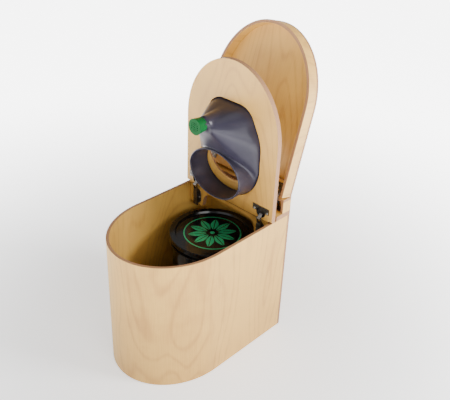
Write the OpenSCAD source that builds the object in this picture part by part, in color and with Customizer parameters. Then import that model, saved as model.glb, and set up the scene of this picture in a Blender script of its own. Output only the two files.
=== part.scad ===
// Dry separating toilet in birch plywood: a bent body, a hinged seat board with a moulded
// separator under it, a hinged lid, and a pail and a canister standing inside.
// It is drawn open. +Z is up, the front is at -Y, and the origin is on the floor, mid-depth.

/* [Body] */
// Width of the body
body_w = 350; // [330:1:380]
// Depth of the body, front to back
body_d = 506; // [490:1:540]
// Height of the body's rim above the floor
rim_h = 426; // [410:1:470]
// Depth of the curved front
nose_d = 208; // [180:1:220]
// Thickness of the bent plywood and of the thin boards
ply_t = 9; // [6:1:10]
// Thickness of the seat, the shelf and the rail
board_t = 15; // [15:1:18]

/* [Rear] */
// Depth of the fixed shelf behind the seat
shelf_d = 61; // [60:0.5:62]
// Depth of the fixed block behind the lid
block_d = 35; // [34:0.5:35.5]
// Distance from the back of the body to the front face of the hinge rail
rail_front = 81; // [80:0.5:82]
// Half width of the arch cut in the hinge rail
arch_half = 112; // [95:1:114]

/* [Seat and lid] */
// Height of the lid, its top board and its skirt together
lid_h = 45; // [44:1:48]
// Angle that the open lid leans back past vertical
lid_lean = 15.56; // [14:0.1:17]
// How far the seat stands out past the body all round
seat_lip = 2.5; // [1:0.5:4]
// How far the lid stands out past the body all round
lid_lip = 1.5; // [1:0.5:3]
// Clearance under the closed seat, and under the closed lid
rest_gap = 0.5; // [0.3:0.1:1]

/* [Separator] */
// Half width of the oval solids collar
collar_w = 100; // [94:1:101]
// Half depth of the oval solids collar
collar_l = 75; // [70:1:76]
// How far the collar stands out under the seat
collar_h = 64; // [50:1:64]
// Wall of the moulding
mould_t = 3; // [2.5:0.5:3.5]
// Distance from the seat's rear edge to the urine outlet
outlet_d = 291; // [284:1:294]
// Radius of the strainer cap's perforated face
strainer_r = 23.5; // [20:0.5:24]

/* [Containers] */
// Radius of the pail's lid
pail_r = 131; // [120:1:131]
// Height of the pail's lid above the floor
pail_top = 346; // [320:1:347]
// Height of the urine canister
canister_h = 190; // [150:1:195]

/* [Hidden] */
$fn = 72;

eps = 0.01;
birch = "burlywood";
rear_y = body_d / 2;
front_y = -body_d / 2;
half_w = body_w / 2;
nose_y = front_y + nose_d;
fit_gap = 0.3;

// closed heights, from the rim up
seat_z = rim_h + rest_gap;
lid_z = seat_z + board_t + rest_gap;
lid_top = lid_z + lid_h;
shelf_top = rim_h + board_t;
skirt_h = lid_h - ply_t;

// the seat's turning axis: it maps the standing seat on to the closed one
seat_rear = shelf_d + 2;
seat_front = 86;
seat_rise = 2;
seat_axis_y = rear_y - (seat_rear + seat_front - seat_rise + rest_gap) / 2;
seat_axis_z = rim_h + (rest_gap + seat_front + seat_rise - seat_rear) / 2;
seat_y = rear_y - seat_rear;
rail_top = rim_h - 4;
rail_h = 64;

// the lid's turning axis, in the same way: closed corner, open corner, and the turn between
lid_turn = 90 + lid_lean;
lid_rear = block_d + 4.5;
lid_y = rear_y - lid_rear;
open_corner = [rear_y - 3, lid_top + 1];
closed_corner = [lid_y, lid_top];
half_chord = (closed_corner - open_corner) / 2;
lid_axis = (closed_corner + open_corner) / 2
    + [-half_chord[1], half_chord[0]] / tan(lid_turn / 2);

// hinges
hinge_x = 134;
lid_hinge_x = 152;
cup_r = 17.4;
cup_depth = 11.5;
cup_d = 22;
flange = [62, 19, 1.2];
cup_screw = [24, 5.5];
plate_t = 3.2;
plate_z = rim_h - 38;
plate_w = 34;
plate_screw_x = 12.4;
link_w = 10;
link_len = 14;
link_angle = 50;
link_pin = [rear_y - 93, rim_h + 6];
pin_r = 1.6;
eye_r = 3.5;
run_gap = 0.05;
arm_w = 15;
arm_t = 8.6;
screw_r = 1.6;
screw_hole_r = screw_r + 0.4;
batten_w = 320;
batten_d = 40;
batten_t = 12;
lid_eye_r = 3.6;

// seat opening, rebate and separator, measured from the seat's rear edge
rebate_t = 9;
root_z = -6;
collar_d = 117;
neck_r = 15;
neck_h = 138;
funnel_h = 105;
funnel_r = 20;
strainer_z = [114.5, 142.5];
rebate_corners = [[118, 32, 118], [118, 232, 120], [68, 327, 58]];
bowl_corners = [[118, 110, 45], rebate_corners[1], rebate_corners[2]];
opening_corners = [[100, 75, 100], [100, 226, 105], [52, 308, 30]];

// pail and canister
pail_y = rear_y - 147;
pail_wall = 2.2;
pail_foot_r = 112;
outlet_y = seat_y - outlet_d;
canister_rear = rear_y - 292;
canister_gap = 20;
canister_wall = 2.5;
canister_neck_h = 22;
neck_bore = 26;

// Outline of the body in plan, moved inwards by inset, from y = rear to the curved front
function plan(inset, rear) = concat([[half_w - inset, rear]],
    [for (t = [0:4:180])
        let (n = [nose_d * cos(t), half_w * sin(t)] / norm([nose_d * cos(t), half_w * sin(t)]))
        [half_w * cos(t) - inset * n[0], nose_y - nose_d * sin(t) + inset * n[1]]],
    [[inset - half_w, rear]]);

// Points of one rounded corner: p is the corner, a and b are its neighbours
function round_corner(p, a, b, r) =
    let (u = (a - p) / norm(a - p), v = (b - p) / norm(b - p),
        half = acos(u * v) / 2, c = p + (u + v) / norm(u + v) * r / sin(half),
        s = p + u * r / tan(half) - c, e = p + v * r / tan(half) - c,
        a0 = atan2(s[1], s[0]), turn = atan2(s[0] * e[1] - s[1] * e[0], s * e),
        n = ceil(abs(turn) / 6))
    [for (i = [0:n]) c + r * [cos(a0 + turn * i / n), sin(a0 + turn * i / n)]];

// A closed outline, symmetrical in X, from the corners of its right half
function oval(half) =
    let (left = [for (i = [len(half) - 1:-1:0]) [-half[i][0], half[i][1], half[i][2]]],
        all = concat(half, left), n = len(all))
    [for (i = [0:n - 1]) each round_corner([all[i][0], all[i][1]],
        [all[(i + n - 1) % n][0], all[(i + n - 1) % n][1]],
        [all[(i + 1) % n][0], all[(i + 1) % n][1]], all[i][2])];

// Moves children from the closed place to the standing one
module seat_open() {
    translate([0, seat_axis_y, seat_axis_z])
        rotate([-90, 0, 0])
            translate([0, -seat_axis_y, -seat_axis_z]) children();
}

module lid_open() {
    translate([0, lid_axis[0], lid_axis[1]])
        rotate([-lid_turn, 0, 0])
            translate([0, -lid_axis[0], -lid_axis[1]]) children();
}

// Draws in the seat's own outline: x across, y from its rear edge forwards, z down
module under_seat() {
    translate([0, seat_y, seat_z]) mirror([0, 0, 1]) mirror([0, 1, 0]) children();
}

// A profile drawn in Y and Z, given a width in X
module side_profile(w, x) {
    translate([x - w / 2, 0, 0]) rotate([90, 0, 90]) linear_extrude(w) children();
}

// A rounded bar between two points
module bar(a, b, w) {
    d = b - a;
    translate(a) rotate(atan2(d[1], d[0])) translate([0, -w / 2]) square([norm(d), w]);
    translate(a) circle(w / 2);
    translate(b) circle(w / 2);
}

// Outline of a flat bar of width w bent along the points p, its corners mitred
function bent(p, w) =
    let (n = len(p), run = [for (i = [0:n - 2]) (p[i + 1] - p[i]) / norm(p[i + 1] - p[i])],
        side = [for (i = [0:n - 1])
            let (a = run[max(i - 1, 0)], m = (a + run[min(i, n - 2)]) / norm(a + run[min(i, n - 2)]))
            [-m[1], m[0]] / (m * a) * w / 2])
    concat([for (i = [0:n - 1]) p[i] + side[i]], [for (i = [n - 1:-1:0]) p[i] - side[i]]);

module cross_hole(p, r, w, x) {
    translate([x - w / 2, p[0], p[1]]) rotate([0, 90, 0]) cylinder(r = r, h = w);
}

// ---- body ----

module body_shell() {
    color(birch) difference() {
        linear_extrude(rim_h) polygon(plan(0, rear_y - ply_t));
        translate([0, 0, -1]) linear_extrude(rim_h + 2) polygon(plan(ply_t, rear_y));
    }
}

module back_panel() {
    color(birch) translate([-half_w, rear_y - ply_t, 0]) cube([body_w, ply_t, rim_h]);
}

module base_board() {
    color(birch) linear_extrude(ply_t) polygon(plan(ply_t + fit_gap, rear_y - ply_t));
}

module arch_outline() {
    ear_z = rail_top - rail_h;
    arch_z = rail_top - 12;
    corner = 32;
    neck = arch_half - 10;
    polygon(concat([[arch_half, ear_z - 1], [arch_half, ear_z]],
        round_corner([neck, arch_z], [arch_half, ear_z], [-neck, arch_z], corner),
        round_corner([-neck, arch_z], [neck, arch_z], [-arch_half, ear_z], corner),
        [[-arch_half, ear_z], [-arch_half, ear_z - 1]]));
}

module hinge_rail() {
    w = body_w - 2 * ply_t - 2 * fit_gap;
    color(birch) translate([0, rear_y - rail_front + board_t, 0]) rotate([90, 0, 0])
        difference() {
            linear_extrude(board_t) difference() {
                translate([-w / 2, rail_top - rail_h]) square([w, rail_h]);
                arch_outline();
            }
            for (s = [-1, 1], k = [-1, 1]) plate_screw_place(s, k) pilot();
        }
}

module plate_screw_place(s, k) {
    translate([s * hinge_x + k * plate_screw_x, plate_z, board_t]) children();
}

module pilot() {
    translate([0, 0, -10]) cylinder(r = screw_r, h = 10 + eps);
}

module rear_shelf() {
    color(birch) difference() {
        translate([-half_w, rear_y - shelf_d, rim_h]) cube([body_w, shelf_d, board_t]);
        for (s = [-1, 1], k = [-1, 1]) bracket_screw_place(s, k) pilot();
    }
}

module block_cheek(s) {
    color(birch) translate([s > 0 ? half_w - ply_t : -half_w, rear_y - block_d, shelf_top])
        cube([ply_t, block_d, lid_top - ply_t - shelf_top]);
}

module block_cheek_left() { block_cheek(-1); }
module block_cheek_right() { block_cheek(1); }

module block_back_strip() {
    color(birch) translate([-half_w + ply_t, rear_y - ply_t, shelf_top])
        cube([body_w - 2 * ply_t, ply_t, lid_top - ply_t - shelf_top]);
}

module block_top() {
    edge_r = 3;
    color(birch) side_profile(body_w, 0) polygon(concat(
        [[rear_y, lid_top - ply_t], [rear_y, lid_top]],
        round_corner([rear_y - block_d, lid_top], [rear_y, lid_top],
            [rear_y - block_d, lid_top - ply_t], edge_r),
        [[rear_y - block_d, lid_top - ply_t]]));
}

// ---- seat ----

// Takes the seat's rear lower edge back to an arc about its axis, so that it clears the body
module corner_relief() {
    difference() {
        translate([seat_axis_y, rim_h - 5]) square([40, seat_axis_z - rim_h + 5]);
        translate([seat_axis_y, seat_axis_z]) circle(seat_axis_z - rim_h - rest_gap / 2);
    }
}

module seat_board() {
    color(birch) seat_open() difference() {
        translate([0, 0, seat_z]) linear_extrude(board_t) polygon(plan(-seat_lip, seat_y));
        for (s = [-1, 1]) side_profile(26, s * (half_w + 2)) corner_relief();
        under_seat() {
            translate([0, 0, -board_t - 1]) linear_extrude(board_t + 2)
                polygon(oval(opening_corners));
            translate([0, 0, -rebate_t]) linear_extrude(rebate_t + 1)
                polygon(oval(rebate_corners));
            for (s = [-1, 1]) translate([s * hinge_x, cup_d, -cup_depth - 0.1])
                cylinder(r = cup_r + 0.1, h = cup_depth + 1);
            for (s = [-1, 1], k = [-1, 1]) cup_screw_place(s, k) translate([0, 0, -9])
                cylinder(r = screw_r, h = 10);
        }
    }
}

// The funnel narrows step by step from the bowl's outline to the outlet
module funnel_solid(inset, cut) {
    steps = 8;
    for (i = [0:steps - 1]) hull() {
        funnel_step(i / steps, inset, cut);
        funnel_step((i + 1) / steps, inset, cut);
    }
}

module funnel_step(f, inset, cut) {
    shoulder = 7;
    narrow = f == 0 ? 1 : 1 - 0.83 * f - 0.03 * sin(180 * f);
    wide = f == 0 ? 1 : 1 - 0.72 * f - 0.02 * sin(180 * f);
    z = f == 0 ? root_z : shoulder + (funnel_h - inset - shoulder) * f;
    translate([0, outlet_d, z]) linear_extrude(eps) {
        circle(funnel_r - inset, $fn = 32);
        if (f < 1) scale([wide, narrow]) translate([0, -outlet_d]) bowl_outline(inset + 1.5, cut);
    }
}

// Outline of the bowl drawn in by inset, without the part behind cut
module bowl_outline(inset, cut) {
    intersection() {
        offset(delta = -inset) polygon(oval(bowl_corners));
        translate([-body_w, cut]) square([2 * body_w, body_w]);
    }
}

// Outline of the solids collar, drawn out by grow
module collar_plan(grow) {
    translate([0, collar_d]) scale([collar_w + grow, collar_l + grow]) circle(1);
}

module collar_flare() {
    flare = 5;
    flare_h = 34;
    narrow = [(collar_w - 1) / (collar_w + flare), (collar_l - 1) / (collar_l + flare)];
    translate([0, collar_d, root_z]) linear_extrude(height = flare_h, scale = narrow)
        translate([0, -collar_d]) collar_plan(flare);
}

module separator() {
    deep = 200;
    bowl_cut = 140;
    lip_t = 3;
    flange_z = rest_gap - rebate_t;
    color("slategray") seat_open() under_seat() difference() {
        union() {
            translate([0, 0, flange_z]) linear_extrude(mould_t)
                offset(delta = -1) polygon(oval(rebate_corners));
            funnel_solid(0, 0);
            collar_flare();
            translate([0, 0, root_z]) linear_extrude(collar_h - root_z) collar_plan(0);
            translate([0, 0, collar_h - lip_t]) linear_extrude(lip_t) collar_plan(1.2);
            translate([0, outlet_d, funnel_h - 10]) cylinder(r = neck_r, h = neck_h - funnel_h + 10);
        }
        // the bowl stops at the collar's wall
        difference() {
            union() {
                funnel_solid(mould_t, bowl_cut);
                translate([0, 0, -board_t]) linear_extrude(board_t - 5.5)
                    bowl_outline(mould_t + 6, bowl_cut);
            }
            translate([0, 0, -deep / 2]) linear_extrude(deep) collar_plan(0);
        }
        translate([0, 0, -board_t]) linear_extrude(deep) collar_plan(-mould_t);
        translate([0, outlet_d, funnel_h - 20]) cylinder(r = neck_r - mould_t, h = neck_h);
    }
}

module strainer_cap() {
    hole_r = 1.5;
    pitch = 5.6;
    skin = 2.5;
    skirt_r = 19.2;
    slot_w = 5;
    color("limegreen") seat_open() under_seat() translate([0, outlet_d, 0]) difference() {
        union() {
            translate([0, 0, strainer_z[0]])
                cylinder(r1 = skirt_r, r2 = strainer_r, h = strainer_z[1] - strainer_z[0]);
            translate([0, 0, strainer_z[0]]) cylinder(r = skirt_r + 1, h = 4);
        }
        translate([0, 0, strainer_z[0] - 1])
            cylinder(r = neck_r + 0.4, h = strainer_z[1] - strainer_z[0] - skin + 1);
        for (x = [-2:2], y = [-2:2]) if (abs(x) + abs(y) < 4)
            translate([x * pitch, y * pitch, strainer_z[1] - skin - 1])
                cylinder(r = hole_r, h = skin + 2, $fn = 16);
        // bayonet slots in the cap's skirt
        for (a = [20, 200]) rotate(a) translate([neck_r - 1, -slot_w / 2, strainer_z[0] - 1])
            cube([8, slot_w, 7]);
    }
}

// ---- lid ----

module lid_board() {
    color(birch) lid_open() translate([0, 0, lid_top - ply_t]) linear_extrude(ply_t)
        polygon(plan(-lid_lip, lid_y));
}

module lid_skirt() {
    color(birch) lid_open() translate([0, 0, lid_z]) linear_extrude(skirt_h) difference() {
        polygon(plan(-lid_lip, lid_y));
        polygon(plan(ply_t - lid_lip, lid_y + 1));
    }
}

module lid_batten() {
    color(birch) lid_open() difference() {
        translate([-batten_w / 2, lid_y - 2 - batten_d, lid_top - ply_t - batten_t])
            cube([batten_w, batten_d, batten_t]);
        for (s = [-1, 1], k = [-1, 1]) lid_screw_place(s, k) mirror([0, 0, 1]) pilot();
    }
}

module lid_screw_place(s, k) {
    translate([s * (lid_hinge_x - 15) + k * 8 - s * 8, lid_y - 24,
        lid_top - ply_t - batten_t]) children();
}

// ---- seat hinges ----

module seat_cup(s) {
    color("dimgray") seat_open() under_seat() translate([s * hinge_x, cup_d, 0]) {
        difference() {
            union() {
                translate([0, 0, -cup_depth]) cylinder(r = cup_r, h = cup_depth);
                translate([-flange[0] / 2, 1.5, 0]) cube(flange);
            }
            translate([0, 0, 1 - cup_depth]) cylinder(r = cup_r - 1, h = cup_depth + 2);
            for (k = [-1, 1]) translate([k * cup_screw[0], cup_screw[1], -1])
                cylinder(r = screw_r + 0.4, h = 4);
        }
    }
}

module cup_screw_place(s, k) {
    translate([s * hinge_x + k * cup_screw[0], cup_d + cup_screw[1], 0]) children();
}

module seat_cup_left() { seat_cup(-1); }
module seat_cup_right() { seat_cup(1); }

module seat_link(s) {
    tip = link_pin + link_len * [cos(link_angle), sin(link_angle)];
    color("silver") side_profile(link_w, s * hinge_x) difference() {
        union() {
            bar(link_pin, tip, 5);
            translate(link_pin) circle(eye_r);
        }
        translate(link_pin) circle(pin_r + run_gap);
        translate(tip) circle(1.2);
    }
}

module seat_link_left() { seat_link(-1); }
module seat_link_right() { seat_link(1); }

module seat_arm(s) {
    arm_y = rear_y - rail_front - plate_t - arm_t / 2;
    low = [arm_y, plate_z - 26];
    knee = [arm_y, plate_z + 23];
    slot_w = link_w + 2 * fit_gap;
    color("dimgray") difference() {
        side_profile(arm_w, s * hinge_x) difference() {
            union() {
                bar(low, knee, arm_t);
                bar(knee, link_pin, 5.6);
                translate(link_pin) circle(eye_r);
            }
            translate(link_pin) circle(pin_r);
        }
        // slot between the cheeks for the link
        translate([s * hinge_x - slot_w / 2, 0, rim_h - 8]) cube([slot_w, rear_y, 30]);
    }
}

module seat_arm_left() { seat_arm(-1); }
module seat_arm_right() { seat_arm(1); }

module seat_plate(s) {
    color("dimgray") translate([0, rear_y - rail_front, 0]) rotate([90, 0, 0]) difference() {
        linear_extrude(plate_t) bar([s * hinge_x, plate_z - 8], [s * hinge_x, plate_z + 8], plate_w);
        translate([0, 0, -board_t]) for (k = [-1, 1]) plate_screw_place(s, k)
            cylinder(r = screw_r + 0.4, h = 5);
    }
}

module seat_plate_left() { seat_plate(-1); }
module seat_plate_right() { seat_plate(1); }

module seat_hinge_pins() {
    color("silver") for (s = [-1, 1]) cross_hole(link_pin, pin_r, arm_w, s * hinge_x);
}

// A pan-head screw standing on z = 0, its shank below
module screw() {
    translate([0, 0, -9]) cylinder(r = screw_r, h = 9);
    difference() {
        cylinder(r1 = 3.6, r2 = 2.8, h = 2);
        translate([0, 0, 1]) rotate(45) {
            translate([-2.2, -0.5, 0]) cube([4.4, 1, 2]);
            translate([-0.5, -2.2, 0]) cube([1, 4.4, 2]);
        }
    }
}

module seat_cup_screws() {
    color("silver") seat_open() under_seat() for (s = [-1, 1], k = [-1, 1])
        cup_screw_place(s, k) translate([0, 0, flange[2]]) screw();
}

module seat_plate_screws() {
    color("silver") translate([0, rear_y - rail_front + board_t, 0]) rotate([90, 0, 0])
        for (s = [-1, 1], k = [-1, 1]) plate_screw_place(s, k) translate([0, 0, plate_t]) screw();
}

// ---- lid hinges: a bent arm on the lid that turns on a pin inside the rear block ----

module lid_arm(s) {
    arm = 8;
    pad = [40, 21, 2];
    pad_y = lid_y - 17;
    pad_z = lid_top - ply_t - batten_t;
    path = [lid_axis, lid_axis + [4.5, -18], lid_axis + [-17, -23],
        [pad_y, pad_z - 6], [pad_y, pad_z - 1]];
    color("dimgray") lid_open() difference() {
        union() {
            side_profile(arm, s * lid_hinge_x) difference() {
                union() {
                    polygon(bent(path, 5));
                    translate(lid_axis) circle(lid_eye_r);
                }
                translate(lid_axis) circle(pin_r + run_gap);
            }
            translate([s * (lid_hinge_x - 15) - pad[0] / 2, lid_y - 34, pad_z - pad[2]]) cube(pad);
        }
        for (k = [-1, 1]) lid_screw_place(s, k) translate([0, 0, -4])
            cylinder(r = screw_r + 0.4, h = 8);
    }
}

module lid_arm_left() { lid_arm(-1); }
module lid_arm_right() { lid_arm(1); }

module bracket_screw_place(s, k) {
    translate([s * (lid_hinge_x - 22), rear_y - 22 + k * 6, shelf_top]) children();
}

module lid_bracket(s) {
    ear_in = 4.6;
    ear_t = 3;
    foot = [36, 20, 2];
    color("dimgray") difference() {
        union() {
            for (k = [-1, 1]) side_profile(ear_t, s * lid_hinge_x + k * (ear_in + ear_t / 2))
                difference() {
                    union() {
                        translate(lid_axis) circle(lid_eye_r);
                        translate([lid_axis[0] - lid_eye_r, shelf_top])
                            square([2 * lid_eye_r, lid_axis[1] - shelf_top]);
                    }
                    translate(lid_axis) circle(pin_r);
                }
            translate([s * (lid_hinge_x - 10) - foot[0] / 2, rear_y - 32, shelf_top]) cube(foot);
        }
        for (k = [-1, 1]) bracket_screw_place(s, k) cylinder(r = screw_r + 0.4, h = 4);
    }
}

module lid_bracket_left() { lid_bracket(-1); }
module lid_bracket_right() { lid_bracket(1); }

module lid_hinge_pins() {
    color("silver") for (s = [-1, 1]) cross_hole(lid_axis, pin_r, 15.2, s * lid_hinge_x);
}

module lid_arm_screws() {
    color("silver") lid_open() for (s = [-1, 1], k = [-1, 1])
        lid_screw_place(s, k) mirror([0, 0, 1]) translate([0, 0, 2]) screw();
}

module lid_bracket_screws() {
    color("silver") for (s = [-1, 1], k = [-1, 1])
        bracket_screw_place(s, k) translate([0, 0, 2]) screw();
}

// ---- containers ----

module pail() {
    top = pail_top - 8;
    wall_r = pail_r - 8;
    color([0.08, 0.08, 0.09]) translate([0, pail_y, ply_t]) rotate_extrude() polygon([
        [0, 0], [pail_foot_r, 0], [wall_r, top - 22 - ply_t], [wall_r + 5, top - 22 - ply_t],
        [wall_r + 5, top - 18 - ply_t], [wall_r, top - 18 - ply_t], [wall_r, top - ply_t],
        [wall_r - pail_wall, top - ply_t], [wall_r - pail_wall, top - 24 - ply_t],
        [pail_foot_r - pail_wall, pail_wall], [0, pail_wall]]);
}

module pail_lid() {
    skirt = 14;
    inner = pail_r - 17;
    color([0.05, 0.05, 0.06]) translate([0, pail_y, pail_top]) rotate_extrude() polygon([
        [0, -6], [inner - 3, -6], [inner, 0], [pail_r - 1.5, 0], [pail_r, -1.5],
        [pail_r, -skirt], [pail_r - 2.5, -skirt], [pail_r - 2.5, -3], [inner + 2, -3],
        [inner - 1, -8.2], [0, -8.2]]);
}

module canister_plan(inset) {
    intersection() {
        polygon(plan(ply_t + canister_gap + inset, rear_y));
        translate([-half_w, front_y]) square([body_w, canister_rear - inset - front_y]);
    }
}

module canister() {
    color("whitesmoke") translate([0, 0, ply_t]) difference() {
        union() {
            linear_extrude(canister_h) canister_plan(0);
            translate([0, outlet_y, canister_h - eps])
                cylinder(r = neck_bore + canister_wall, h = canister_neck_h);
        }
        translate([0, 0, canister_wall]) linear_extrude(canister_h - 2 * canister_wall)
            canister_plan(canister_wall);
        translate([0, outlet_y, canister_h - 5])
            cylinder(r = neck_bore, h = canister_neck_h + 10);
    }
}

module canister_funnel() {
    base = ply_t + canister_h + canister_neck_h;
    tube = neck_bore - 1;
    color("whitesmoke") translate([0, outlet_y, base]) rotate_extrude() polygon([
        [tube - 2, -16], [tube, -16], [tube, 0], [tube + 4, 0], [tube + 4, 3], [tube + 1, 4],
        [44, 36], [44, 38], [42, 38], [42, 37], [tube - 2, 4]]);
}

body_shell();
back_panel();
base_board();
hinge_rail();
rear_shelf();
block_cheek_left();
block_cheek_right();
block_back_strip();
block_top();
seat_board();
separator();
strainer_cap();
lid_board();
lid_skirt();
lid_batten();
seat_cup_left();
seat_cup_right();
seat_link_left();
seat_link_right();
seat_arm_left();
seat_arm_right();
seat_plate_left();
seat_plate_right();
seat_hinge_pins();
seat_cup_screws();
seat_plate_screws();
lid_arm_left();
lid_arm_right();
lid_bracket_left();
lid_bracket_right();
lid_hinge_pins();
lid_arm_screws();
lid_bracket_screws();
pail();
pail_lid();
canister();
canister_funnel();
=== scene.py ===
"""Looks for the plywood dry toilet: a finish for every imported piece, and the moulded
separator drawn as one soft shell in place of its plain solid.
+Z is up, the front is at -Y, and the seat and the lid stand open. Finishes, lights and the
camera are in metres. Meshes are worked out in millimetres, which MM turns into metres."""
import math

import bmesh
import bpy
import numpy as np
from mathutils import Matrix, Vector


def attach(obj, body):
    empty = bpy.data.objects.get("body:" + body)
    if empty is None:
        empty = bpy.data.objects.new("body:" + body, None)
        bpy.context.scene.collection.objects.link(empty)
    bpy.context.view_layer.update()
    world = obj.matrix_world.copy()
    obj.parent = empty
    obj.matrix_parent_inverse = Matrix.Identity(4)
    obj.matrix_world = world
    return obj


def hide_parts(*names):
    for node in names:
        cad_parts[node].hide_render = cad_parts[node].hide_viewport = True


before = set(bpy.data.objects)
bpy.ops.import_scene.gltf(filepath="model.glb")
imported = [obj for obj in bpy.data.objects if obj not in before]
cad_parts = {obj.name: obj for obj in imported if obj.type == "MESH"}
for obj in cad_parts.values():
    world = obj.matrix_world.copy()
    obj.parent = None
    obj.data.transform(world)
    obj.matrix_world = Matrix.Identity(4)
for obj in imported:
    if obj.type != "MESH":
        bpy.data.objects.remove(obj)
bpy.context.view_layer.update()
MM = 0.001


# ---- camera: fitted to the photographed outlines ----

def photo_camera():
    place = (1.1791, -1.1145, 1.4877)
    turn, tilt, roll = (math.radians(a) for a in (42.848, 31.249, 2.395))
    back = Vector((math.sin(turn) * math.cos(tilt), -math.cos(turn) * math.cos(tilt),
                   math.sin(tilt)))
    level = Vector((math.cos(turn), math.sin(turn), 0))
    rise = back.cross(level)
    across = math.cos(roll) * level + math.sin(roll) * rise
    up = -math.sin(roll) * level + math.cos(roll) * rise
    camera = bpy.data.objects.new("photo_camera", bpy.data.cameras.new("photo_camera"))
    bpy.context.scene.collection.objects.link(camera)
    facing = Matrix((across, up, back)).transposed().to_4x4()
    camera.matrix_world = Matrix.Translation(place) @ facing
    camera.data.lens = 53.61
    camera.data.sensor_width = 36
    camera.data.clip_end = 100
    bpy.context.scene.camera = camera


# ---- shader maths ----

class Field:
    """A value that changes over a surface. Sums on it add Math nodes."""

    def __init__(self, finish, socket):
        self.finish, self.socket = finish, socket

    def math(self, operation, *values):
        return self.finish.node("ShaderNodeMath", {"operation": operation},
                                dict(enumerate(values)))

    def __add__(self, other): return self.math("ADD", self, other)
    def __radd__(self, other): return self.math("ADD", other, self)
    def __sub__(self, other): return self.math("SUBTRACT", self, other)
    def __rsub__(self, other): return self.math("SUBTRACT", other, self)
    def __mul__(self, other): return self.math("MULTIPLY", self, other)
    def __rmul__(self, other): return self.math("MULTIPLY", other, self)
    def __truediv__(self, other): return self.math("DIVIDE", self, other)
    def __rtruediv__(self, other): return self.math("DIVIDE", other, self)
    def __pow__(self, other): return self.math("POWER", self, other)
    def __abs__(self): return self.math("ABSOLUTE", self)

    def sine(self): return self.math("SINE", self)
    def root(self): return self.math("SQRT", self)
    def low(self, other): return self.math("MINIMUM", self, other)
    def high(self, other): return self.math("MAXIMUM", self, other)
    def angle(self, other): return self.math("ARCTAN2", self, other)
    def wrapped(self, size): return self.math("PINGPONG", self, size)

    def between(self, start, end, low=0.0, high=1.0):
        """Rises smoothly from low at start to high at end."""
        return self.finish.node("ShaderNodeMapRange", {"interpolation_type": "SMOOTHSTEP"}, {
            "Value": self, "From Min": start, "From Max": end, "To Min": low, "To Max": high})


class Finish:
    """One procedural material under construction."""

    def __init__(self, name, **shader):
        self.material = bpy.data.materials.new(name)
        self.material.use_nodes = True
        self.tree = self.material.node_tree
        self.tree.nodes.clear()
        self.shader = self.tree.nodes.new("ShaderNodeBsdfPrincipled")
        output = self.tree.nodes.new("ShaderNodeOutputMaterial")
        self.tree.links.new(self.shader.outputs["BSDF"], output.inputs["Surface"])
        for socket, value in shader.items():
            self.set(socket.replace("_", " "), value)

    def node(self, kind, settings, sockets, output=0):
        """Adds a node: its settings first, then a value or a link on each named socket."""
        made = self.tree.nodes.new(kind)
        for name, value in settings.items():
            setattr(made, name, value)
        for name, value in sockets.items():
            if isinstance(value, Field):
                self.tree.links.new(value.socket, made.inputs[name])
            else:
                made.inputs[name].default_value = value
        return Field(self, made.outputs[output])

    def set(self, socket, value):
        """Links or sets one socket of the shader."""
        if isinstance(value, Field):
            self.tree.links.new(value.socket, self.shader.inputs[socket])
        elif isinstance(value, tuple) and len(value) == 3:
            self.shader.inputs[socket].default_value = (*value, 1)
        else:
            self.shader.inputs[socket].default_value = value

    def point(self):
        """The place on the piece, in metres, which stays with the piece as it moves."""
        return self.node("ShaderNodeTexCoord", {}, {}, "Object")

    def facing(self):
        """The direction that the surface faces."""
        return self.node("ShaderNodeTexCoord", {}, {}, "Normal")

    def along(self, vector, direction):
        """How far a vector reaches along a direction."""
        return self.node("ShaderNodeVectorMath", {"operation": "DOT_PRODUCT"},
                         {0: vector, 1: direction}, "Value")

    def vector(self, x, y, z):
        return self.node("ShaderNodeCombineXYZ", {}, {0: x, 1: y, 2: z})

    def noise(self, vector, scale, detail=2.0, roughness=0.5, distortion=0.0):
        return self.node("ShaderNodeTexNoise", {}, {
            "Vector": vector, "Scale": scale, "Detail": detail, "Roughness": roughness,
            "Distortion": distortion}, "Fac")

    def mix(self, first, second, share):
        """Blends two colours; the Mix node's colour sockets are 6, 7 and output 2."""
        return self.node("ShaderNodeMix", {"data_type": "RGBA"}, {
            0: share, 6: colour(first), 7: colour(second)}, 2)

    def bump(self, height, depth, strength):
        self.set("Normal", self.node("ShaderNodeBump", {}, {
            "Height": height, "Distance": depth, "Strength": strength}))


def colour(value):
    """A colour's link, or its numbers with the opacity that the socket wants."""
    return value if isinstance(value, Field) else (*value, 1)


def daub(piece, material):
    """Gives a piece this material alone."""
    piece.data.materials.clear()
    piece.data.materials.append(material)


# ---- finishes ----

FIGURE_STRETCH, PORE_STRETCH = 0.26, 0.03  # how much the wood's patterns are drawn out
RINGS, RING_SHARPNESS = 120, 5
EDGE_TURN = (0.55, 0.8)  # where a sheet's face turns into its edge


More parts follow.
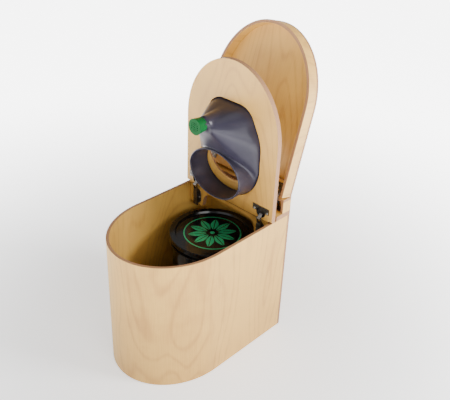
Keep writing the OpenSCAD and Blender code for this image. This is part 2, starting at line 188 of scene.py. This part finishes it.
def birch(name, sheet, grain, rim=None, pale=(0.665, 0.385, 0.082), warm=(0.45, 0.225, 0.045)):
    """Oiled birch plywood: veneer on the faces, its plies on the edges.
    sheet is square to a flat board, and rim points out of the edge of a bent one.
    The face veneer's grain runs along grain, and pale and warm are its colours."""
    wood = Finish(name, Roughness=0.5, Coat_Weight=0.1, Coat_Roughness=0.35)
    place = wood.point()
    across = Vector(sheet).cross(Vector(grain))
    length = wood.along(place, grain)
    width = wood.along(place, tuple(across))
    depth = wood.along(place, sheet)
    figure_place = wood.vector(width, depth, length * FIGURE_STRETCH)
    pore_place = wood.vector(width, depth, length * PORE_STRETCH)
    broad = wood.noise(figure_place, scale=4.6, detail=1.5, roughness=0.45, distortion=0.3)
    waver = wood.noise(figure_place, scale=30) * 1.2
    rings = ((broad * RINGS + waver).sine() * 0.5 + 0.5) ** RING_SHARPNESS
    pores = wood.noise(pore_place, scale=420, detail=3, roughness=0.6)
    clouds = wood.noise(place, scale=14, detail=3)
    warmth = (rings * 0.26 + (pores - 0.5) * 0.6 + (broad - 0.5) * 1.1
              + (clouds - 0.5) * 0.7 + 0.24)
    face = wood.mix(pale, warm, warmth.between(0, 1))
    if rim:
        depth = round_the_nose(wood, place)
        square_to = abs(wood.along(wood.facing(), rim))
        edge = square_to.between(*EDGE_TURN)
    else:
        square_to = abs(wood.along(wood.facing(), sheet))
        edge = square_to.between(*EDGE_TURN, low=1, high=0)
    plies = (depth * (math.pi / PLY)).sine().between(-0.35, 0.35)
    fibres = wood.noise(place, scale=900)
    layers = wood.mix((0.40, 0.205, 0.09), (0.165, 0.075, 0.032),
                      plies * 0.8 + (fibres - 0.5) * 0.5)
    wood.set("Base Color", wood.mix(face, layers, edge))
    wood.set("Roughness", 0.5 + (pores - 0.5) * 0.25 + edge * 0.2)
    wood.bump(pores * (1 - edge) + fibres * edge, depth=0.00012, strength=0.6)
    return wood.material


def round_the_nose(wood, place):
    """Depth under the body's outside, straight at the sides and an ellipse in front."""
    x = wood.along(place, (1, 0, 0))
    nose = (wood.along(place, (0, 1, 0)) - NOSE_Y).low(0)
    reach = ((x / HALF_WIDTH) ** 2 + (nose / NOSE_DEPTH) ** 2).root()
    slope = ((x / HALF_WIDTH ** 2) ** 2 + (nose / NOSE_DEPTH ** 2) ** 2).root() / reach
    return (1 - reach) / slope


def moulded(name, base, lift, roughness, coat=0.0, ior=1.38):
    """Moulded plastic with faint flow marks from base to lift, and a fine skin."""
    plastic = Finish(name, IOR=ior, Coat_Weight=coat, Coat_Roughness=0.12)
    place = plastic.point()
    flow = plastic.noise(place, scale=9, detail=3, roughness=0.55, distortion=0.8)
    grit = plastic.noise(place, scale=700, detail=1)
    handled = plastic.noise(place, scale=60, detail=4, roughness=0.65)
    plastic.set("Base Color", plastic.mix(base, lift, flow.between(0.3, 0.75)))
    plastic.set("Roughness", roughness + (flow - 0.5) * 0.12 + (handled - 0.5) * 0.14)
    plastic.bump(grit + handled * 0.6, depth=0.00003, strength=0.5)
    return plastic.material


def plated(name, base, roughness):
    """Plated steel with fine drawing lines and a few smudges."""
    steel = Finish(name, Metallic=1.0)
    place = steel.point()
    x, y, z = (steel.along(place, axis) for axis in ((1, 0, 0), (0, 1, 0), (0, 0, 1)))
    lines = steel.noise(steel.vector(x, y, z * 0.05), scale=2600)
    marks = steel.noise(place, scale=180, detail=3)
    dull = tuple(c * 0.6 for c in base)
    steel.set("Base Color", steel.mix(base, dull, marks.between(0.45, 0.75)))
    steel.set("Roughness", roughness + (lines - 0.5) * 0.12 + marks * 0.25)
    steel.bump(lines, depth=0.00003, strength=0.5)
    return steel.material


def pail_black(name, leaves=False):
    """Glossy black plastic; the lid's recessed disc carries a printed round of leaves."""
    black = Finish(name, IOR=1.42)
    place = black.point()
    dust = black.noise(place, scale=240, detail=3, roughness=0.6)
    waves = black.noise(place, scale=22)
    base = black.mix((0.003, 0.003, 0.0032), (0.007, 0.0068, 0.007), dust.between(0.4, 0.8))
    rough = 0.13 + (waves - 0.5) * 0.1 + dust * 0.08
    if leaves:
        ink = leaf_print(black, place)
        base = black.mix(base, black.mix((0.014, 0.25, 0.09), (0.026, 0.31, 0.12), dust), ink)
        rough = rough + ink * 0.14
    black.set("Base Color", base)
    black.set("Roughness", rough)
    black.bump(waves * 0.6 + dust * 0.4, depth=0.00008, strength=0.4)
    return black.material


def leaf_print(black, place):
    """Ten plain leaves, a ring round them and a dot, as a share of ink from 0 to 1."""
    leaf_middle, half_length, half_width = 0.046, 0.031, 0.0125
    x = black.along(place, (1, 0, 0))
    y = black.along(place, (0, 1, 0)) - PAIL_Y
    radius = (x * x + y * y).root()
    # every leaf is drawn in the same tenth of a turn, and every other one is its mirror image
    turn = (y.angle(x) + math.pi).wrapped(math.pi / 5)
    swing = turn - math.pi / 10
    leaf_x = radius * (math.pi / 2 - abs(swing)).sine() - leaf_middle
    leaf_y = abs(radius * swing.sine())
    leaf = 1 - (abs(leaf_x / half_length) ** 1.7 + abs(leaf_y / half_width))
    vein = (leaf_y - 0.0009).between(0, 0.0006)
    ring = 0.0022 - abs(radius - 0.0865)
    dot = 0.0075 - radius
    soft = 0.0003
    drawn = leaf.between(0, 0.03) * vein
    return drawn.high(ring.between(0, soft)).high(dot.between(0, soft))


# ---- sizes repeated from the part's own values ----

# the body's plan and the pail's middle, for the finishes, in metres
HALF_WIDTH, NOSE_DEPTH, NOSE_Y = 0.175, 0.208, -0.045
PAIL_Y = 0.106
PLY = 0.0013  # one ply's thickness
# directions of the open lid: up along its board, and out of its outside
LID_ALONG = (0.0, 0.26824, 0.96335)
LID_OUT = (0.0, 0.96335, -0.26824)
# the separator, in millimetres across the seat, forward from its rear edge and down
COLLAR_D, COLLAR_W, COLLAR_L, COLLAR_H = 117, 100, 75, 64
OUTLET_D, NECK_R, NECK_H = 291, 15, 138
FUNNEL_H = 107
FLARE, FLARE_H = 4.5, 34
WALL = 3.0
SHELL = 1.5 * WALL  # the funnel's shell, three steps of the sampled field thick
LIP_R = 2.5
# corners of the separator's outline, each with its rounding
MOULD_CORNERS = [(118, 32, 118), (118, 232, 120), (68, 327, 58)]
BOWL_CORNERS = [(118, 110, 50), *MOULD_CORNERS[1:]]


def under_seat(x, d, h):
    """A point given across, forward from the seat's rear edge and down under the seat."""
    return Vector((x, 167 - h, 428 + d)) * MM


def corner_arc(p, before, after, radius, step=5):
    """Points of the arc that rounds corner p between its two neighbours, every step degrees."""
    p, a, b = (np.array(q[:2], float) for q in (p, before, after))
    u, v = (a - p) / np.linalg.norm(a - p), (b - p) / np.linalg.norm(b - p)
    half = math.acos(u @ v) / 2
    centre = p + (u + v) / np.linalg.norm(u + v) * radius / math.sin(half)
    start = p + u * radius / math.tan(half) - centre
    end = p + v * radius / math.tan(half) - centre
    first = math.atan2(start[1], start[0])
    turn = math.atan2(start[0] * end[1] - start[1] * end[0], start @ end)
    count = math.ceil(abs(math.degrees(turn)) / step)
    return [centre + radius * np.array((math.cos(first + turn * i / count),
                                        math.sin(first + turn * i / count)))
            for i in range(count + 1)]


def oval(half):
    """Closed outline from the rounded corners of its right half."""
    ring = half + [(-x, y, r) for x, y, r in reversed(half)]
    points = []
    for i, corner in enumerate(ring):
        points += corner_arc(corner, ring[i - 1], ring[(i + 1) % len(ring)], corner[2])
    return np.array(points)


# ---- meshes ----

def new_piece(name, mesh, body, material, node=None):
    """Adds a mesh that rides on a body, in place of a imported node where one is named."""
    piece = bpy.data.objects.new(name, mesh)
    bpy.context.scene.collection.objects.link(piece)
    mesh.polygons.foreach_set("use_smooth", [True] * len(mesh.polygons))
    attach(piece, body)
    if node:
        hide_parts(node)
    daub(piece, material)


def distance_to(outline, x, y):
    """Signed distance in the plane to a closed outline, negative inside."""
    nearest = np.full(x.shape, 1e9)
    inside = np.zeros(x.shape, bool)
    for (x0, y0), (x1, y1) in zip(outline, np.roll(outline, -1, 0)):
        if (x0, y0) == (x1, y1):
            continue
        share = np.clip(((x - x0) * (x1 - x0) + (y - y0) * (y1 - y0))
                        / ((x1 - x0) ** 2 + (y1 - y0) ** 2), 0, 1)
        nearest = np.minimum(nearest, np.hypot(x - x0 - share * (x1 - x0),
                                               y - y0 - share * (y1 - y0)))
        if y0 != y1:
            inside ^= ((y0 > y) != (y1 > y)) & (x < x0 + (y - y0) * (x1 - x0) / (y1 - y0))
    return np.where(inside, -nearest, nearest)


def joined(a, b, fillet):
    """Union of two distance fields with a concave fillet."""
    return np.minimum(a, b) - np.maximum(fillet - abs(a - b), 0) ** 2 / (4 * fillet)


def met(a, b, rounding):
    """Intersection of two distance fields with a rounded edge."""
    return -joined(-a, -b, rounding)


def skin(field, origin, step):
    """Quads on the zero surface of a sampled distance field.
    Each cell that the surface crosses holds one point, at the mean of its edges' crossings."""
    cells = np.array(field.shape) - 1
    total, count = np.zeros((*cells, 3)), np.zeros(cells)
    quads = []
    solid = field < 0
    for axis in range(3):
        others = [k for k in range(3) if k != axis]
        low, high = [slice(None)] * 3, [slice(None)] * 3
        low[axis], high[axis] = slice(None, -1), slice(1, None)
        start, end = field[tuple(low)], field[tuple(high)]
        crossed = solid[tuple(low)] != solid[tuple(high)]
        share = np.where(crossed, start / np.where(crossed, start - end, 1), 0)
        for i in (0, 1):
            for j in (0, 1):
                pick = [slice(None)] * 3
                pick[others[0]] = slice(i, i + cells[others[0]])
                pick[others[1]] = slice(j, j + cells[others[1]])
                there = crossed[tuple(pick)]
                count += there
                total[..., axis] += np.where(there, share[tuple(pick)], 0)
                total[..., others[0]] += there * i
                total[..., others[1]] += there * j
    used = count > 0
    number = np.full(cells, -1)
    number[used] = np.arange(used.sum())
    points = (np.argwhere(used) + total[used] / count[used][:, None]) * step + origin
    for axis in range(3):
        others = [(axis + 1) % 3, (axis + 2) % 3]
        low, high = [slice(1, -1)] * 3, [slice(1, -1)] * 3
        low[axis], high[axis] = slice(0, -1), slice(1, None)
        first, second = solid[tuple(low)], solid[tuple(high)]
        at = np.argwhere(first != second)
        outward = first[first != second]
        at[:, others[0]] += 1
        at[:, others[1]] += 1
        ring = []
        for i, j in ((0, 0), (1, 0), (1, 1), (0, 1)):
            cell = at.copy()
            cell[:, others[0]] -= i
            cell[:, others[1]] -= j
            ring.append(number[tuple(cell.T)])
        ring = np.stack(ring, 1)
        quads.append(np.where(outward[:, None], ring, ring[:, ::-1]))
    return points, np.concatenate(quads)


def relaxed(points, quads, rounds):
    """Evens out a fine mesh; every second pass swells it back."""
    inward, outward = 0.5, -0.52
    ends = np.concatenate([quads[:, [i, (i + 1) % 4]] for i in range(4)])
    ends = np.concatenate([ends, ends[:, ::-1]])
    degree = np.bincount(ends[:, 0], minlength=len(points))[:, None]
    for i in range(2 * rounds):
        mean = np.stack([np.bincount(ends[:, 0], points[ends[:, 1], k], len(points))
                         for k in range(3)], 1) / degree
        points = points + (mean - points) * (inward, outward)[i % 2]
    return points


TABLE_START, TABLE_END_X, TABLE_END_D = -420, 420, 520


def plan_table():
    """Every whole millimetre across and forward that a table in the plane holds."""
    return np.meshgrid(np.arange(TABLE_START, TABLE_END_X + 1),
                       np.arange(TABLE_START, TABLE_END_D + 1), indexing="ij")


def collar_distance(x, d):
    """Nearly the distance in the plane to the collar's oval outside, negative inside."""
    d = d - COLLAR_D
    ratio = np.hypot(x / COLLAR_W, d / COLLAR_L)
    return (ratio - 1) * ratio / np.maximum(np.hypot(x / COLLAR_W ** 2, d / COLLAR_L ** 2), 1e-6)


def looked_up(table, x, d):
    """Reads a table of one value per square millimetre between its points."""
    u = np.clip(x - TABLE_START, 0, table.shape[0] - 1.001)
    v = np.clip(d - TABLE_START, 0, table.shape[1] - 1.001)
    i, j = u.astype(int), v.astype(int)
    u, v = u - i, v - j
    return ((table[i, j] * (1 - u) + table[i + 1, j] * u) * (1 - v)
            + (table[i, j + 1] * (1 - u) + table[i + 1, j + 1] * u) * v)


def evened(field, step, least):
    """Divides a field by its softened slope, so that it measures distance near its surface."""
    slope = np.sqrt(sum(g ** 2 for g in np.gradient(field, step)))
    for axis in (0, 1, 2) * 4:
        slope = (np.roll(slope, 1, axis) + 2 * slope + np.roll(slope, -1, axis)) / 4
    return field / np.maximum(slope, least)


def funnel(x, d, h, plan, from_outlet, step):
    """The solid funnel: the bowl's outline drawn in towards the outlet."""
    table_x, table_d = plan_table()
    bowl = distance_to(oval(BOWL_CORNERS), table_x, table_d)
    soft_l, soft_w, soft_d = 109, 117, 216
    soft_bowl = (np.hypot(table_x / soft_w, (table_d - soft_d) / soft_l) - 1) * soft_l

    narrow = np.clip(1.055 - 0.885 * (h + 2) / FUNNEL_H, 0.12, 1.2)
    wide = np.clip(1.055 - 0.775 * (h + 2) / FUNNEL_H, 0.12, 1.2)
    inner = (x / wide, OUTLET_D + (d - OUTLET_D) / narrow)
    # the outline turns half into an ellipse on its way down
    softness = 0.5 * np.clip(h / 70, 0, 1) ** 0.7
    cone = (looked_up(bowl, *inner) * (1 - softness)
            + looked_up(soft_bowl, *inner) * softness + 1.5) * narrow
    shoulder_r = 20
    cone = joined(evened(cone, step, 0.4), from_outlet - shoulder_r, 10)
    cone = met(met(cone, plan + 2.2, 12), h - FUNNEL_H, 3)
    # its rear ridge is cut along a slanted plane, so that it clears the pail's lid
    ridge = (h - 73.5 - 0.66 * (d - 217.6)) / 1.2
    return met(cone, ridge, 5)


def separator_mesh(step=1.5):
    """The moulding as one shell: flange, funnel, collar and outlet neck."""
    lows, highs = np.array((-122.0, 26.0, -12.0)), np.array((122.0, 333.0, 142.0))
    x, d, h = np.meshgrid(*(np.arange(a, b + step, step) for a, b in zip(lows, highs)),
                          indexing="ij")
    plan = looked_up(distance_to(oval(MOULD_CORNERS), *plan_table()), x, d)
    from_collar = collar_distance(x, d)
    from_outlet = np.hypot(x, d - OUTLET_D)

    cone = funnel(x, d, h, plan, from_outlet, step)
    neck = np.maximum(from_outlet - NECK_R, h - NECK_H)
    neck_root = 60
    flare = FLARE * np.clip(1 - h / FLARE_H, 0, 1) ** 2
    collar = np.maximum(from_collar - flare, h - COLLAR_H)
    outside = joined(joined(cone, collar, 7), np.maximum(neck, neck_root - h), 12)
    outside = evened(outside, step, 0.85)

    thickness = np.maximum(outside, -(outside + SHELL))
    tube_wall = np.maximum(np.maximum(-WALL - from_collar,
                                      from_collar - np.maximum(flare - 1, 0)), h - COLLAR_H)
    # the flange's middle lies 7 mm inside the board, and the bowl is open through it
    flange = np.maximum(plan + 1, abs(h + 7) - WALL / 2)
    bowl_mouth = np.maximum(np.maximum(plan + 9, 145 - d), -from_collar)
    flange = np.maximum(flange, -bowl_mouth)
    whole = np.minimum(np.minimum(thickness, flange), tube_wall)
    whole = np.maximum(whole, -8.5 - h)
    # the ways through the collar and the outlet neck
    whole = np.maximum(whole, -WALL - from_collar)
    whole = np.maximum(whole, np.where(h > neck_root, NECK_R - WALL - from_outlet, -1e3))
    # inside the bowl nothing closes the mouth of the funnel
    whole = np.maximum(whole, -np.maximum(bowl_mouth, np.maximum(outside + SHELL, h - 20)))
    points, quads = skin(whole, lows, step)
    points = relaxed(points, quads, 6)
    mesh = bpy.data.meshes.new("separator_moulding")
    mesh.from_pydata([under_seat(*p) for p in points], [], quads.tolist())
    mesh.update()
    return mesh


# ---- pieces ----

def collar_lip(sides=160, around=12):
    """The rolled edge round the collar's mouth."""
    points, quads = [], []
    for i in range(sides):
        turn = 2 * math.pi * i / sides
        x, d = COLLAR_W * math.cos(turn), COLLAR_L * math.sin(turn)
        out = Vector((x / COLLAR_W ** 2, d / COLLAR_L ** 2)).normalized()
        for j in range(around):
            a = 2 * math.pi * j / around
            reach = -1.4 + LIP_R * math.cos(a)
            points.append(under_seat(x + out.x * reach, COLLAR_D + d + out.y * reach,
                                     COLLAR_H - 2.4 + LIP_R * math.sin(a)))
            k, following = (j + 1) % around, (i + 1) % sides * around
            quads.append((i * around + j, i * around + k, following + k, following + j))
    mesh = bpy.data.meshes.new("collar_lip")
    mesh.from_pydata(points, [], quads)
    return mesh


def smooth_shading():
    """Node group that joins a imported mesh's split faces and smooths all but its real edges."""
    smallest_edge_angle = math.radians(28)
    group = bpy.data.node_groups.new("smooth_shading", "GeometryNodeTree")
    group.interface.new_socket("Geometry", in_out="INPUT", socket_type="NodeSocketGeometry")
    group.interface.new_socket("Geometry", in_out="OUTPUT", socket_type="NodeSocketGeometry")
    link = group.links.new
    start, end = group.nodes.new("NodeGroupInput"), group.nodes.new("NodeGroupOutput")
    bare = group.nodes.new("GeometryNodeRemoveAttribute")
    bare.inputs["Name"].default_value = "custom_normal"
    weld = group.nodes.new("GeometryNodeMergeByDistance")
    weld.inputs["Distance"].default_value = 0.003 * MM
    faces = group.nodes.new("GeometryNodeSetShadeSmooth")
    edges = group.nodes.new("GeometryNodeSetShadeSmooth")
    edges.domain = "EDGE"
    edges.inputs["Shade Smooth"].default_value = False
    angle = group.nodes.new("GeometryNodeInputMeshEdgeAngle")
    sharp = group.nodes.new("FunctionNodeCompare")
    sharp.operation = "GREATER_THAN"
    sharp.inputs["B"].default_value = smallest_edge_angle
    link(start.outputs[0], bare.inputs["Geometry"])
    link(bare.outputs["Geometry"], weld.inputs["Geometry"])
    link(weld.outputs["Geometry"], faces.inputs["Geometry"])
    link(faces.outputs["Geometry"], edges.inputs["Geometry"])
    link(angle.outputs["Unsigned Angle"], sharp.inputs["A"])
    link(sharp.outputs["Result"], edges.inputs["Selection"])
    link(edges.outputs["Geometry"], end.inputs[0])
    return group


def dress(names, material, group, edge, segments=2):
    """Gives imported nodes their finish, smooth curves and edges broken by edge millimetres."""
    for name in names.split():
        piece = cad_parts[name]
        daub(piece, material)
        smooth = piece.modifiers.new("smooth_shading", "NODES")
        smooth.node_group = group
        if edge:
            bevel = piece.modifiers.new("broken_edges", "BEVEL")
            bevel.width = edge * MM
            bevel.segments = segments
            bevel.limit_method = "ANGLE"
            bevel.angle_limit = math.radians(50)
            bevel.harden_normals = True


def area_light(name, place, target, size, power):
    lamp = bpy.data.lights.new(name, "AREA")
    lamp.shape = "RECTANGLE"
    lamp.size, lamp.size_y = size
    lamp.energy = power
    light = bpy.data.objects.new(name, lamp)
    light.location = place
    light.rotation_euler = (Vector(target) - Vector(place)).to_track_quat("-Z", "Y").to_euler()
    bpy.context.scene.collection.objects.link(light)


def studio():
    """Pale floor with a painted glow, white surroundings and four soft lights."""
    world = bpy.data.worlds.new("studio")
    world.use_nodes = True
    background = world.node_tree.nodes["Background"]
    floor_reach, floor_gap = 40, 0.0005
    background.inputs["Color"].default_value = (1, 1, 1, 1)
    background.inputs["Strength"].default_value = 0.45
    bpy.context.scene.world = world
    floor_mesh = bpy.data.meshes.new("studio_floor")
    shape = bmesh.new()
    bmesh.ops.create_grid(shape, x_segments=8, y_segments=8, size=floor_reach)
    shape.to_mesh(floor_mesh)
    shape.free()
    floor = bpy.data.objects.new("studio_floor", floor_mesh)
    bpy.context.scene.collection.objects.link(floor)
    floor.location.z = -floor_gap
    paper = Finish("glowing_floor", Base_Color=(0.95, 0.95, 0.95), Emission_Strength=6)
    place = paper.point()
    grain = paper.noise(place, scale=400)
    paper.set("Roughness", 0.85 + grain * 0.1)
    # painted light: the floor glows, dimmer near the object and more the further it is from it
    spread = (paper.along(place, (1, 0, 0)) ** 2 + paper.along(place, (0, 1, 0)) ** 2).root()
    paper.set("Emission Color",
              paper.mix((0.14, 0.14, 0.14), (1, 1, 1), spread.between(0.35, 2.2)))
    daub(floor, paper.material)
    middle = (0, 0, 0.45)
    area_light("key", (2.5, 1.4, 2.1), middle, (1.0, 1.0), 108)
    area_light("side", (2.9, -0.8, 1.5), middle, (1.8, 1.4), 48)
    area_light("fill", (0.5, -2.9, 1.6), middle, (2.4, 2.0), 14)
    area_light("top", (0.2, -0.4, 3.2), middle, (2.2, 2.2), 20)


photo_camera()
studio()
smooth = smooth_shading()

# ---- what each piece is made of ----

UP, ACROSS, BACKWARD = (0, 0, 1), (1, 0, 0), (0, 1, 0)

dress("body_shell", birch("birch_bent", BACKWARD, UP, rim=UP), smooth, 0.6)
dress("back_panel hinge_rail block_back_strip", birch("birch_rear", BACKWARD, UP), smooth, 0.6)
dress("seat_board", birch("birch_seat", BACKWARD, UP, pale=(0.62, 0.345, 0.07)), smooth, 1.2, 3)
dress("base_board", birch("birch_base", UP, BACKWARD), smooth, 0.4)
dress("rear_shelf block_top", birch("birch_shelf", UP, ACROSS), smooth, 0.6)
dress("block_cheek_left block_cheek_right", birch("birch_cheek", ACROSS, UP), smooth, 0.5)
dress("lid_board lid_batten", birch("birch_lid", LID_OUT, LID_ALONG), smooth, 0.8)
dress("lid_skirt", birch("birch_lid_skirt", LID_ALONG, LID_OUT, rim=LID_OUT), smooth, 0.5)

slate = moulded("slate_moulding", (0.020, 0.018, 0.031), (0.028, 0.025, 0.041),
                roughness=0.33, coat=0.12, ior=1.32)
new_piece("separator_moulding", separator_mesh(), "seat", slate, "separator")
new_piece("collar_lip", collar_lip(), "seat", slate)

green = moulded("green_moulding", (0.0, 0.07, 0.014), (0.0, 0.09, 0.02), roughness=0.55, ior=1.2)
dress("strainer_cap", green, smooth, 0.5)

dress("pail", pail_black("pail_black"), smooth, 0.4)
dress("pail_lid", pail_black("pail_lid_black", leaves=True), smooth, 0.6)
milky = moulded("canister_white", (0.72, 0.73, 0.72), (0.80, 0.81, 0.80), roughness=0.5)
dress("canister canister_funnel", milky, smooth, 1.0)

dark_steel = plated("hinge_steel", (0.15, 0.14, 0.13), roughness=0.28)
bright_steel = plated("link_steel", (0.52, 0.49, 0.45), roughness=0.2)
screw_steel = plated("screw_zinc", (0.45, 0.43, 0.40), roughness=0.25)
dress("seat_cup_left seat_cup_right seat_arm_left seat_arm_right seat_plate_left "
      "seat_plate_right lid_arm_left lid_arm_right lid_bracket_left lid_bracket_right",
      dark_steel, smooth, 0.35)
dress("seat_link_left seat_link_right", bright_steel, smooth, 0.5)
dress("seat_hinge_pins seat_cup_screws seat_plate_screws lid_hinge_pins lid_arm_screws "
      "lid_bracket_screws", screw_steel, smooth, 0)

bpy.context.view_layer.update()
